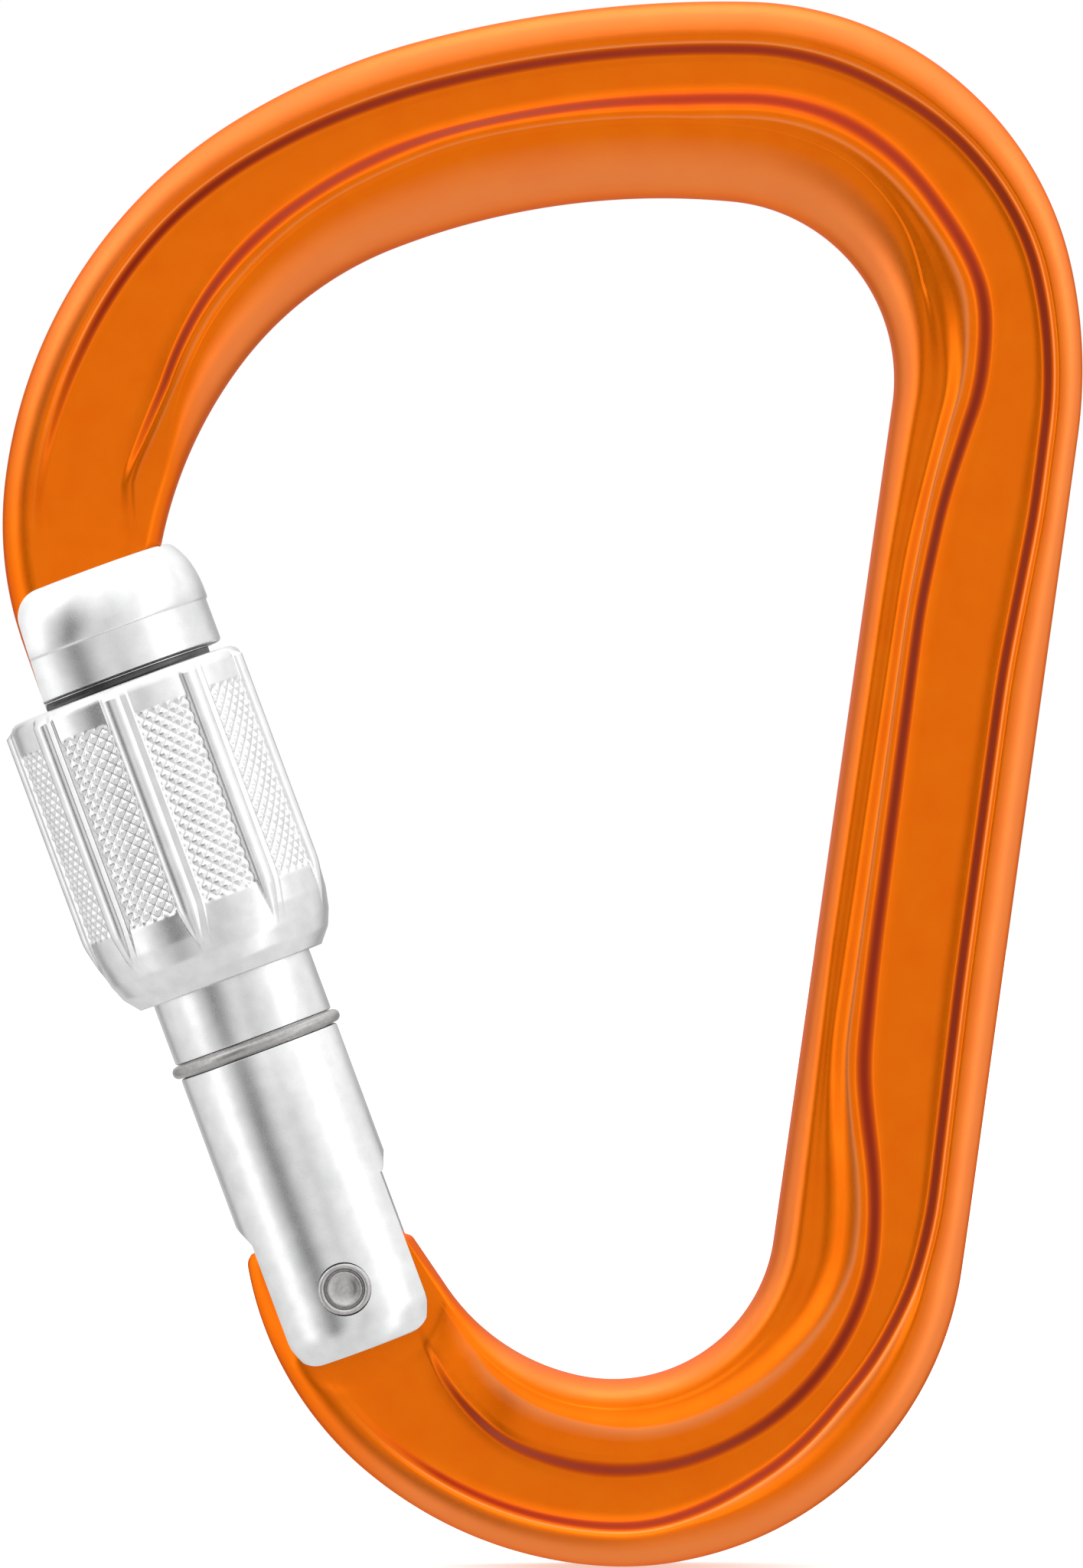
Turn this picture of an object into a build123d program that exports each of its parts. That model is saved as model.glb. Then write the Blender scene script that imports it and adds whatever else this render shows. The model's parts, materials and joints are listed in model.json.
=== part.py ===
from build123d import *
import math
import os

# A pear-shaped screw-gate carabiner. All sizes are in millimetres and degrees.
# +Z is the load axis, up; +X runs from the gate to the spine; Y is the thickness.
# The origin is where a rope bears, at the top of the inside of the wide end (the basket).

# Frame: outlines of the bar, seen along Y, as smooth runs of (radius, turn).
# A radius of 0 is a straight run whose second value is its length; a left turn is positive.
OUTER_START = (-29.5, -76.8)
OUTER_HEADING = -82.6
OUTER_RUNS = [
    (25.0, 43.3), (29.5, 36.0), (25.0, 85.4), (0, 61.2), (35.0, 20.4), (24.5, 76.3),
    (86.0, 16.2), (50.0, 16.7), (36.0, 50.7), (26.0, 27.0), (0, 8.0),
]
NOSE_FLANK_LENGTH = 9.0
INNER_START = (-37.25, -35.4)
INNER_HEADING = 81.3
INNER_RUNS = [
    (0, NOSE_FLANK_LENGTH), (32.0, -28.6), (25.5, -31.5), (54.0, -26.7), (13.0, -92.6),
    (0, 61.6), (11.8, -92.7), (15.5, -45.0), (0, 4.9),
]
BAR_THICKNESS = 11.0
FLAT_THICKNESS = 5.6
OUTER_ROUNDING = 2.8
INNER_ROUNDING = 4.0
OUTER_RIM_WIDTH = 3.6
ROPE_BAR_WIDTH = 5.8

# Gate: its own axis leans from the vertical and runs through the hinge rivet.
# Heights along that axis are counted from the rivet.
RIVET_PLACE = (-22.2, -79.3)
GATE_LEAN = 20.4
BARREL_RADIUS = 6.05
FORK_FOOT = -4.7
FORK_CORNER = 2.4
FORK_HALF_WIDTH = 5.9
SLOT_HALF_WIDTH = 2.9
SLOT_FLOOR = 6.9
THREAD_RADIUS = 6.8
THREAD_START = 30.5
CAP_FOOT = 47.3
CAP_STEP = 50.6
CAP_TOP = 55.3
CAP_SKIRT_RADIUS = 7.9
CAP_RADIUS = 8.05
CAP_TOP_RADIUS = 6.9
CAP_EDGE = 0.3
CAP_CROWN = ((0.05, 1.2), (0.35, 2.5), (0.7, 3.5))
CAP_CHEEK_FOOT = -5.65
CAP_CHEEK_TOP = -5.35
CAP_CHEEK_CORNER = 2.1
GATE_REST_GAP = 0.08

# Keylock: the nose is a flat tongue with a waist, and the cap has lips that fill the waist.
# All of its edges are arcs about the rivet, so that the gate can swing through.
NOSE_END_RADIUS = 47.8
NOSE_FLAT_RADIUS = 58.3
WAIST_LOW = 51.2
WAIST_HIGH = 54.3
WAIST_HALF_THICKNESS = 1.8
KEYLOCK_GAP = 0.3
LIP_GAP = 0.15
CAP_SLOT_LOW = 47.5

# Hinge: the frame's tongue has an eccentric round top that pushes the spring plunger up.
RIVET_RADIUS = 1.45
RIVET_HEAD_RADIUS = 1.95
RIVET_HEAD_SEAT = 5.5
RIVET_LENGTH = 12.3
RIVET_DISH_RADIUS = 3.0
RIVET_DISH_DEPTH = 0.4
RIVET_RUNNING_GAP = 0.05
CAM_OFFSET = 2.2
CAM_ANGLE = 50.0
CAM_RADIUS = 3.7
FORK_SWING_RADIUS = 7.2
RAMP_RUN = 3.5

# Spring and plunger in the barrel's bore.
BORE_RADIUS = 2.2
BORE_END = 28.0
PLUNGER_TIP = 4.925
PLUNGER_TIP_RADIUS = 1.3
PLUNGER_HEAD_RADIUS = 2.1
PLUNGER_HEAD_FOOT = 7.0
PLUNGER_HEAD_TOP = 9.2
PLUNGER_STEM_RADIUS = 1.0
PLUNGER_STEM_TOP = 13.0
SPRING_WIRE_RADIUS = 0.3
SPRING_MEAN_RADIUS = 1.7
SPRING_TURNS = 13

# Stop ring: a split wire ring in a groove, under the sleeve.
STOP_RING_HEIGHT = 18.8
STOP_RING_WIRE_RADIUS = 0.47
STOP_GROOVE_RADIUS = 5.55
STOP_GROOVE_WIDTH = 1.05
STOP_RING_SPLIT = 24.0

# Locking sleeve, in its rest place just under the cap.
SLEEVE_FOOT = 24.0
SLEEVE_TOP = 46.7
SLEEVE_RADIUS = 8.9
SLEEVE_FOOT_RADIUS = 7.2
SLEEVE_SKIRT_TOP = 29.5
SLEEVE_TOP_CHAMFER = 0.6
SLEEVE_FOOT_EDGE = 0.25
SLEEVE_SKIRT = ((0.95, 0.2), (0.45, 0.42), (0.12, 0.7))
SLEEVE_COLLAR_RADIUS = 6.15
SLEEVE_THREAD_RADIUS = 6.88
SLEEVE_MOUTH_RADIUS = 8.0
SLEEVE_MOUTH_FLOOR = 44.75
RIB_COUNT = 9
RIB_RADIUS = 0.8
RIB_CREST = 9.35
RIB_FOOT = 26.8
RIB_TOP = 46.0
RIB_DEPTH = 0.4
RIB_FADE = 3.2
RIB_PHASE = -6.0

# Friction ring: an elastic ring in a groove of the sleeve, which rubs on the barrel.
FRICTION_RING_FOOT = 26.3
FRICTION_RING_HEIGHT = 1.2
FRICTION_RING_INNER = 6.1
FRICTION_RING_OUTER = 7.05
FRICTION_RING_GAP = 0.05

# How far a cutting shape reaches past what it cuts.
CUT_MARGIN = 1.0

GATE_PLACE = Location((RIVET_PLACE[0], 0, RIVET_PLACE[1]), (0, -GATE_LEAN, 0))


def shifted_start(start, heading, shift):
    """A start point moved to the left of its heading."""
    angle = math.radians(heading + 90)
    return (start[0] + shift * math.cos(angle), start[1] + shift * math.sin(angle))


def smooth_chain(start, heading, runs, shift=0.0):
    """The edges of a tangent chain, moved to its left by shift."""
    point = Vector(*shifted_start(start, heading, shift))
    direction = Vector(1, 0).rotate(Axis.Z, heading)
    edges = []
    for radius, amount in runs:
        if radius == 0:
            edge = Line(point, point + direction * amount)
        else:
            edge = JernArc(point, direction, radius - math.copysign(shift, amount), amount)
        edges.append(edge)
        point = edge @ 1
        direction = edge % 1
    return edges


def band(outer_shift, inner_shift):
    """The face between the outer and the inner outline, each moved into the bar."""
    outer = smooth_chain(OUTER_START, OUTER_HEADING, OUTER_RUNS, outer_shift)
    inner = smooth_chain(INNER_START, INNER_HEADING, INNER_RUNS, inner_shift)
    nose_end = Line(outer[-1] @ 1, inner[0] @ 0)
    tongue_end = Line(inner[-1] @ 1, outer[0] @ 0)
    return make_face([*outer, nose_end, *inner, tongue_end])


def slab(sketch, low, high):
    """A flat sketch, drawn as (x, z), made solid on both sides of the middle plane."""
    front = extrude(Plane.XZ * sketch, high)
    back = extrude(Plane.XZ * sketch, -high)
    if low == 0:
        return front + back
    core = extrude(Plane.XZ * sketch, low) + extrude(Plane.XZ * sketch, -low)
    return (front + back) - core


def at_rivet(sketch, lateral=0.0, height=0.0):
    """A flat sketch moved from gate coordinates to the frame's (x, z)."""
    place = Location((*RIVET_PLACE, 0), (0, 0, GATE_LEAN))
    return place * Pos(lateral, height) * sketch


def nose_zone(low, high):
    """The part of the nose between two radii about the rivet, as a flat sketch."""
    ring = Circle(high) - Circle(low)
    window = Pos(0, (low + high) / 2) * Rectangle(4 * CAP_RADIUS, 4 * CAP_RADIUS)
    return at_rivet(ring & window)


def rounded_bar():
    """The full-thickness bar with its long edges rounded."""
    solid = slab(band(0, 0), 0, BAR_THICKNESS / 2)
    half = BAR_THICKNESS / 2
    outer = smooth_chain(OUTER_START, OUTER_HEADING, OUTER_RUNS)
    inner = smooth_chain(INNER_START, INNER_HEADING, INNER_RUNS)
    for chain, radius in ((outer, OUTER_ROUNDING), (inner, INNER_ROUNDING)):
        middles = [
            Vector((edge @ 0.5).X, side * half, (edge @ 0.5).Y) for edge in chain for side in (-1, 1)]
        edges = [solid.edges().sort_by_distance(middle)[0] for middle in middles]
        solid = fillet(edges, radius)
    return solid


def frame_part():
    flat = FLAT_THICKNESS / 2
    half = BAR_THICKNESS / 2
    solid = rounded_bar()
    hinge_zone = at_rivet(Circle(FORK_SWING_RADIUS + RAMP_RUN))
    nose_end_zone = nose_zone(NOSE_END_RADIUS / 2, NOSE_FLAT_RADIUS + RAMP_RUN)
    web = band(OUTER_RIM_WIDTH, ROPE_BAR_WIDTH) - hinge_zone - nose_end_zone
    solid -= slab(web, flat, half + CUT_MARGIN)
    hinge_ramp = revolve(
        Plane.XZ * make_face(Polyline(
            (0, flat), (FORK_SWING_RADIUS, flat), (FORK_SWING_RADIUS + RAMP_RUN, half),
            (FORK_SWING_RADIUS + RAMP_RUN, half + CUT_MARGIN), (0, half + CUT_MARGIN), close=True)),
        Axis.Z)
    for side in (-90, 90):
        solid -= Location((RIVET_PLACE[0], 0, RIVET_PLACE[1])) * Rotation(side, 0, 0) * hinge_ramp
    solid -= slab(nose_zone(NOSE_END_RADIUS / 2, NOSE_FLAT_RADIUS), flat, half + CUT_MARGIN)
    solid -= slab(nose_zone(NOSE_END_RADIUS / 2, NOSE_END_RADIUS), 0, half + CUT_MARGIN)
    solid -= slab(nose_zone(WAIST_LOW, WAIST_HIGH), WAIST_HALF_THICKNESS, half + CUT_MARGIN)
    cam_angle = math.radians(CAM_ANGLE)
    cam = at_rivet(Circle(CAM_RADIUS), CAM_OFFSET * math.sin(cam_angle), CAM_OFFSET * math.cos(cam_angle))
    solid += slab(cam, 0, flat)
    solid -= slab(at_rivet(Circle(RIVET_RADIUS + RIVET_RUNNING_GAP)), 0, half + CUT_MARGIN)
    return solid


def spun(points):
    """A solid of revolution about the gate's axis from (radius, height) points."""
    return revolve(Plane.XZ * make_face(Polyline(*points, close=True)), Axis.Z)


def in_gate(point):
    """A frame point (x, z) in the gate's own (lateral, height) coordinates."""
    dx = point[0] - RIVET_PLACE[0]
    dz = point[1] - RIVET_PLACE[1]
    lean = math.radians(GATE_LEAN)
    return (dx * math.cos(lean) + dz * math.sin(lean), dz * math.cos(lean) - dx * math.sin(lean))


def nose_flank():
    """Two points of the nose's inner edge in gate coordinates, low one first."""
    heading = math.radians(INNER_HEADING)
    start = shifted_start(INNER_START, INNER_HEADING, -GATE_REST_GAP)
    reach = 2 * NOSE_FLANK_LENGTH
    far = (start[0] + reach * math.cos(heading), start[1] + reach * math.sin(heading))
    return in_gate(start), in_gate(far)


def keylock_slot(low, high, half_width):
    """The part of the cap's slot between two radii about the rivet."""
    (foot_x, foot_z), (top_x, top_z) = nose_flank()
    side = make_face(Polyline(
        (foot_x, foot_z), (top_x, top_z), (-2 * CAP_RADIUS, top_z), (-2 * CAP_RADIUS, foot_z), close=True))
    ring = Circle(high) - Circle(low)
    return slab(side & ring, 0, half_width)


def cheek_cut():
    """What is cut off the cap's cheeks on the side where the nose comes in."""
    far = -2 * CAP_RADIUS
    side = make_face(Polyline(
        (far, CAP_FOOT), (CAP_CHEEK_FOOT, CAP_FOOT), (CAP_CHEEK_TOP, CAP_TOP + CUT_MARGIN),
        (far, CAP_TOP + CUT_MARGIN), close=True))
    centre_x = CAP_CHEEK_TOP + CAP_CHEEK_CORNER
    centre_z = CAP_TOP - CAP_CHEEK_CORNER
    corner = make_face(Polyline(
        (far, centre_z), (centre_x, centre_z), (centre_x, CAP_TOP + CUT_MARGIN),
        (far, CAP_TOP + CUT_MARGIN), close=True))
    return side + (corner - Pos(centre_x, centre_z) * Circle(CAP_CHEEK_CORNER))


def gate_part():
    crown = [(CAP_RADIUS - inset, CAP_STEP + rise) for inset, rise in CAP_CROWN]
    barrel = spun([
        (0, FORK_FOOT), (BARREL_RADIUS, FORK_FOOT), (BARREL_RADIUS, THREAD_START),
        (THREAD_RADIUS, THREAD_START + THREAD_RADIUS - BARREL_RADIUS), (THREAD_RADIUS, CAP_FOOT),
        (CAP_SKIRT_RADIUS - CAP_EDGE, CAP_FOOT), (CAP_SKIRT_RADIUS, CAP_FOOT + CAP_EDGE),
        (CAP_SKIRT_RADIUS, CAP_STEP), (CAP_RADIUS, CAP_STEP + CAP_EDGE), *crown,
        (CAP_TOP_RADIUS, CAP_TOP - CAP_EDGE), (CAP_TOP_RADIUS - CAP_EDGE, CAP_TOP), (0, CAP_TOP)])
    groove_low = STOP_RING_HEIGHT - STOP_GROOVE_WIDTH / 2
    groove = Pos(0, 0, groove_low) * (
        extrude(Circle(BARREL_RADIUS + CUT_MARGIN) - Circle(STOP_GROOVE_RADIUS), STOP_GROOVE_WIDTH))
    solid = barrel - groove
    fork_plan = RectangleRounded(2 * FORK_HALF_WIDTH, 4 * FORK_CORNER, FORK_CORNER)
    fork_corners = Rectangle(4 * BARREL_RADIUS, 4 * FORK_CORNER) - fork_plan
    fork_corners &= Pos(0, -FORK_CORNER) * Rectangle(4 * BARREL_RADIUS, 2 * FORK_CORNER)
    solid -= slab(Pos(0, FORK_FOOT + 2 * FORK_CORNER) * fork_corners, 0, 2 * BARREL_RADIUS)
    slot_height = SLOT_FLOOR - FORK_FOOT + CUT_MARGIN
    slot = Pos(0, 0, SLOT_FLOOR - slot_height / 2) * Box(
        4 * BARREL_RADIUS, 2 * SLOT_HALF_WIDTH, slot_height)
    solid -= slot
    solid -= Pos(0, 0, SLOT_FLOOR - CUT_MARGIN) * extrude(
        Circle(BORE_RADIUS), BORE_END - SLOT_FLOOR + CUT_MARGIN)
    solid -= rivet_blank()
    solid -= slab(cheek_cut(), 0, 2 * CAP_RADIUS)
    solid -= keylock_slot(CAP_SLOT_LOW, WAIST_LOW + KEYLOCK_GAP, SLOT_HALF_WIDTH)
    solid -= keylock_slot(WAIST_LOW, WAIST_HIGH, WAIST_HALF_THICKNESS + LIP_GAP)
    solid -= keylock_slot(WAIST_HIGH - KEYLOCK_GAP, NOSE_FLAT_RADIUS, SLOT_HALF_WIDTH)
    return solid


def rivet_blank():
    """The plain rivet before its heads are dished; it also cuts its own seat in the fork."""
    half = RIVET_LENGTH / 2
    pin = spun([
        (0, -half), (RIVET_HEAD_RADIUS, -half), (RIVET_HEAD_RADIUS, -RIVET_HEAD_SEAT),
        (RIVET_RADIUS, -RIVET_HEAD_SEAT), (RIVET_RADIUS, RIVET_HEAD_SEAT),
        (RIVET_HEAD_RADIUS, RIVET_HEAD_SEAT), (RIVET_HEAD_RADIUS, half), (0, half)])
    return Rotation(90, 0, 0) * pin


def hinge_rivet_part():
    solid = rivet_blank()
    dish_centre = RIVET_LENGTH / 2 + RIVET_DISH_RADIUS - RIVET_DISH_DEPTH
    for side in (-1, 1):
        solid -= Pos(0, side * dish_centre, 0) * Sphere(RIVET_DISH_RADIUS)
    return solid


def spring_plunger_part():
    tip_centre = PLUNGER_TIP + PLUNGER_TIP_RADIUS
    body = spun([
        (0, tip_centre), (PLUNGER_TIP_RADIUS, tip_centre), (PLUNGER_TIP_RADIUS, PLUNGER_HEAD_FOOT),
        (PLUNGER_HEAD_RADIUS, PLUNGER_HEAD_FOOT), (PLUNGER_HEAD_RADIUS, PLUNGER_HEAD_TOP),
        (PLUNGER_STEM_RADIUS, PLUNGER_HEAD_TOP), (PLUNGER_STEM_RADIUS, PLUNGER_STEM_TOP),
        (0, PLUNGER_STEM_TOP)])
    return body + Pos(0, 0, tip_centre) * Sphere(PLUNGER_TIP_RADIUS)


def gate_spring_part():
    foot = PLUNGER_HEAD_TOP + SPRING_WIRE_RADIUS
    height = BORE_END - SPRING_WIRE_RADIUS - foot
    coil = Helix(height / SPRING_TURNS, height, SPRING_MEAN_RADIUS)
    wire = Plane(coil @ 0, z_dir=coil % 0) * Circle(SPRING_WIRE_RADIUS)
    return Pos(0, 0, foot) * sweep(wire, path=coil)


def sleeve_stop_ring_part():
    centre = STOP_GROOVE_RADIUS + STOP_RING_WIRE_RADIUS
    ring = revolve(
        Plane.XZ * Pos(centre, STOP_RING_HEIGHT) * Circle(STOP_RING_WIRE_RADIUS),
        Axis.Z, 360 - STOP_RING_SPLIT)
    return Rotation(0, 0, 90 + STOP_RING_SPLIT / 2) * ring


def locking_sleeve_part():
    groove_radius = FRICTION_RING_OUTER + FRICTION_RING_GAP
    groove_top = FRICTION_RING_FOOT + FRICTION_RING_HEIGHT + FRICTION_RING_GAP
    groove_low = FRICTION_RING_FOOT - FRICTION_RING_GAP
    rise = SLEEVE_SKIRT_TOP - SLEEVE_FOOT
    skirt = [(SLEEVE_RADIUS - inset, SLEEVE_FOOT + share * rise) for inset, share in SLEEVE_SKIRT]
    shell = spun([
        (SLEEVE_COLLAR_RADIUS, SLEEVE_FOOT), (SLEEVE_FOOT_RADIUS - SLEEVE_FOOT_EDGE, SLEEVE_FOOT),
        (SLEEVE_FOOT_RADIUS, SLEEVE_FOOT + SLEEVE_FOOT_EDGE), *skirt,
        (SLEEVE_RADIUS, SLEEVE_SKIRT_TOP), (SLEEVE_RADIUS, SLEEVE_TOP - SLEEVE_TOP_CHAMFER),
        (SLEEVE_RADIUS - SLEEVE_TOP_CHAMFER, SLEEVE_TOP), (SLEEVE_MOUTH_RADIUS, SLEEVE_TOP),
        (SLEEVE_MOUTH_RADIUS, SLEEVE_MOUTH_FLOOR), (SLEEVE_THREAD_RADIUS, SLEEVE_MOUTH_FLOOR),
        (SLEEVE_THREAD_RADIUS, groove_top), (groove_radius, groove_top), (groove_radius, groove_low),
        (SLEEVE_COLLAR_RADIUS, groove_low)])
    root = SLEEVE_RADIUS - RIB_DEPTH
    envelope = spun([
        (root, RIB_FOOT), (root + RIB_DEPTH / 2, RIB_FOOT), (RIB_CREST, RIB_FOOT + RIB_FADE),
        (RIB_CREST, RIB_TOP - RIB_DEPTH), (RIB_CREST - RIB_DEPTH, RIB_TOP), (root, RIB_TOP)])
    rib_length = RIB_TOP - RIB_FOOT
    rib = Pos(0, RIB_RADIUS - RIB_CREST, RIB_FOOT + rib_length / 2) * Cylinder(RIB_RADIUS, rib_length)
    rib = rib & envelope
    solid = shell
    for index in range(RIB_COUNT):
        solid += Rotation(0, 0, RIB_PHASE + index * 360 / RIB_COUNT) * rib
    return solid


def friction_ring_part():
    section = extrude(Circle(FRICTION_RING_OUTER) - Circle(FRICTION_RING_INNER), FRICTION_RING_HEIGHT)
    return Pos(0, 0, FRICTION_RING_FOOT) * section


GATE_PARTS = {
    "gate": gate_part,
    "hinge_rivet": hinge_rivet_part,
    "spring_plunger": spring_plunger_part,
    "gate_spring": gate_spring_part,
    "sleeve_stop_ring": sleeve_stop_ring_part,
    "locking_sleeve": locking_sleeve_part,
    "friction_ring": friction_ring_part,
}


def main():
    os.makedirs("parts", exist_ok=True)
    export_step(frame_part(), "parts/frame.step")
    for name, make in GATE_PARTS.items():
        export_step(GATE_PLACE * make(), f"parts/{name}.step")


if __name__ == "__main__":
    main()
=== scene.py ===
import json
import math

import bmesh
import bpy
import numpy as np
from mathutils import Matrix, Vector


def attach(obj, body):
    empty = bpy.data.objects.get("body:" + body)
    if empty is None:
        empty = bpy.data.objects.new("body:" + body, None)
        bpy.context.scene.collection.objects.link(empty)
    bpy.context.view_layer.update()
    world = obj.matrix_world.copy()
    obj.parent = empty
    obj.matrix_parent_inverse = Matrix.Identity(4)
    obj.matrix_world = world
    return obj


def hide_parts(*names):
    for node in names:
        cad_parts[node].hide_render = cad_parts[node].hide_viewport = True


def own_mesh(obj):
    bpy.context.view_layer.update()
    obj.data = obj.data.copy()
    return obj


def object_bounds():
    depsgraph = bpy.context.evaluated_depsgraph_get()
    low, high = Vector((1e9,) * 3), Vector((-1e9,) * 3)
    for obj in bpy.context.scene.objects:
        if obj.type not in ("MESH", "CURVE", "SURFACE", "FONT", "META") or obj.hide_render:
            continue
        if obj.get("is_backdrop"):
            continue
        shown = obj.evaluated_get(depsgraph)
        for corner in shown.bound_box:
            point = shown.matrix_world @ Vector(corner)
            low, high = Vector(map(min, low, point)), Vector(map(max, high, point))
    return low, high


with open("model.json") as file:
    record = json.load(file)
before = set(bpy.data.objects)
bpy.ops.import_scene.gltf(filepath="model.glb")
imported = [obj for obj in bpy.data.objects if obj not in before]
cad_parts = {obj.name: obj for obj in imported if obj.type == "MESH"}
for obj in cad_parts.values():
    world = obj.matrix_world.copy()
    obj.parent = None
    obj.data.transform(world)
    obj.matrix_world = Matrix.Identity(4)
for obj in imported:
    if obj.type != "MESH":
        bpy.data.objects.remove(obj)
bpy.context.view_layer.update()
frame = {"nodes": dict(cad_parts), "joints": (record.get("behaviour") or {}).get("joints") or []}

# Lengths below are in millimetres and angles in degrees, in the CAD's own frame:
# +Z is the load axis, +X runs from the gate to the spine, Y is the thickness.
MM = 0.001

JOINTS = {joint["name"]: joint for joint in frame["joints"]}
RIVET_X, _, RIVET_Z = (value / MM for value in JOINTS["gate_open"]["pos_m"])
GATE_AXIS = JOINTS["sleeve_turn"]["axis"]
GATE_LEAN = math.degrees(math.atan2(-GATE_AXIS[0], GATE_AXIS[2]))

# The bar's outlines, as runs of (radius, turn); a radius of 0 is a straight length.
OUTER_START = (-29.5, -76.8)
OUTER_HEADING = -82.6
OUTER_RUNS = (
    (25.0, 43.3), (29.5, 36.0), (25.0, 85.4), (0, 61.2), (35.0, 20.4), (24.5, 76.3),
    (86.0, 16.2), (50.0, 16.7), (36.0, 50.7), (26.0, 27.0), (0, 8.0))
INNER_START = (-37.25, -35.4)
INNER_HEADING = 81.3
INNER_RUNS = (
    (0, 9.0), (32.0, -28.6), (25.5, -31.5), (54.0, -26.7), (13.0, -92.6),
    (0, 61.6), (11.8, -92.7), (15.5, -45.0), (0, 4.9))

# Sizes of the bar's section and of its two ends, and the steps of its mesh.
FLAT_HALF = 2.8
OUTER_ROUNDING = 2.6
NOSE_END_RADIUS = 47.8
NOSE_ARC_RADIUS = 60.5
WAIST_LOW = 51.2
WAIST_HIGH = 54.3
WAIST_HALF = 1.8
CAM_OFFSET = 2.2
CAM_ANGLE = 50.0
CAM_RADIUS = 3.7
HORN_ROUNDING = 1.1
HORN_REACH = 0.11
TONGUE_STATION = 9.0
TONGUE_STEPS = 30
SWING_RADIUS = 7.2
SWING_SLOPE = 0.9
SWING_ROUNDING = 0.35
ABOVE_BAR = 9.0
BAR_WIDTHS = (4, 22)
OUTLINE_STEP = 0.25
STATION_STEP = 0.5
TABLE_STEP = 0.5
TABLE_MARGIN = 20
SMOOTHING = 4.5

# Near the nose the stations turn into arcs about the rivet, finer round the waist's edges.
ARC_STEP = 0.4
WAIST_EDGE = 0.04
WAIST_MARGIN = 0.3
NOSE_MIDDLE = 49.5
NOSE_EDGE = 0.25
NOSE_SHARE = 0.8
BLEND_LENGTH = 22
BLEND_ROWS = 30

# How the section changes along the outer outline, from the hinge to the nose: (distance, value).
# Places are counted from the outer edge across the bar, and heights from its middle plane.
RIM_HEIGHT = (
    (0, 2.8), (12, 2.85), (20, 3.2), (30, 4.5), (40, 5.5), (212, 5.5), (236, 4.6), (254, 2.82), (272, 2.8))
TOP_HEIGHT = (
    (0, 2.8), (14, 2.82), (17, 3.3), (26, 5.4), (29, 5.5), (212, 5.5), (238, 4.7), (256, 2.82), (272, 2.8))
CREST_HEIGHT = (
    (0, 2.8), (14, 2.85), (17, 3.4), (26, 5.4), (29, 5.5), (212, 5.5), (238, 4.7), (257, 2.82), (272, 2.8))
RIM_WALL = (
    (0, 2.9), (41, 3.0), (50, 4.0), (61, 4.6), (69, 4.0), (78, 2.8), (95, 3.1), (118, 3.1),
    (130, 2.4), (150, 2.6), (168, 3.6), (210, 3.4), (228, 2.9), (272, 3.0))
WEB_EDGE = (
    (0, 10.6), (14, 9.6), (20, 8.2), (27, 6.8), (36, 6.3), (50, 6.5), (62, 6.2), (76, 5.9), (81, 6.6),
    (88, 8.4), (96, 8.8), (122, 9.1), (130, 8.5), (138, 6.9), (147, 5.9), (158, 6.6),
    (172, 6.2), (210, 6.4), (226, 7.4), (241, 9.0), (272, 9.3))
WALL_TOP = (
    (0, 11.2), (14, 10.4), (20, 9.1), (27, 7.9), (38, 7.8), (60, 7.8), (70, 7.5), (76, 7.3), (80, 7.8),
    (84, 9.0), (88, 10.0), (96, 10.2), (122, 10.2), (130, 9.6), (138, 8.3), (147, 7.4),
    (156, 8.2), (172, 8.0), (212, 8.1), (226, 8.9), (241, 9.9), (272, 10.0))
CREST = (
    (0, 13.1), (16, 12.8), (22, 11.2), (29, 10.5), (40, 10.0), (54, 9.9), (62, 9.3), (70, 8.4),
    (76, 7.8), (80, 8.3), (84, 9.5), (89, 10.6), (122, 10.6), (131, 10.0), (140, 8.7), (148, 8.0),
    (158, 8.8), (172, 8.6), (212, 8.6), (230, 9.8), (241, 10.3), (272, 10.4))
VALLEY = (
    (0, 13.2), (16, 12.9), (24, 12.2), (34, 11.4), (52, 11.4), (60, 11.3), (67, 10.7), (76, 10.4),
    (84, 11.4), (90, 11.8), (126, 11.3), (133, 10.5), (139, 9.9), (147, 10.4), (156, 11.3), (175, 11.8),
    (215, 11.6), (236, 11.8), (272, 11.8))
VALLEY_DEPTH = (
    (0, 0.0), (24, 0.0), (40, 0.3), (62, 0.35), (76, 0.5), (130, 0.5), (150, 0.25), (170, 0.0),
    (272, 0.0))
INNER_ROUNDING = (
    (0, 0.6), (14, 0.7), (22, 1.4), (30, 1.8), (56, 1.8), (76, 2.0), (96, 1.3), (124, 1.4), (142, 2.2),
    (158, 4.4), (168, 5.2), (205, 5.2), (232, 3.4), (248, 1.6), (272, 1.0))
BAND_DROP = (
    (0, 0.0), (20, 0.1), (36, 0.9), (70, 1.1), (100, 1.2), (130, 1.2), (152, 0.9), (168, 0.3),
    (230, 0.2), (252, 0.0), (272, 0.0))

# The section's small sizes: the outer groove's wall, the least room between its lines where the
# bar is narrow, and the turns in degrees at which its rounded edges have points.
WALL_HALF = 0.42
WALL_LEAN = 0.16
RIM_ROOM = 0.3
BROW_ROOM = 0.9
FOOT_ROOM = 0.6
CREST_ROOM = (0.25, 0.4)
DIP_ROOM = (0.2, 0.2)
SIDE_SHARE = 0.6
OUTER_TURNS = np.linspace(0, 90, 10)
INNER_TURNS = np.linspace(82, 0, 11)

# The lines that join one place of the section to the next, and the steps in each.
SECTION_RUNS = (
    ("rim", "shoulder", 4), ("shoulder", "wall", 7), ("wall", "foot", 5), ("foot", "brow", 9),
    ("brow", "crest", 5), ("crest", "dip", 5), ("dip", "band", 5))

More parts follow.
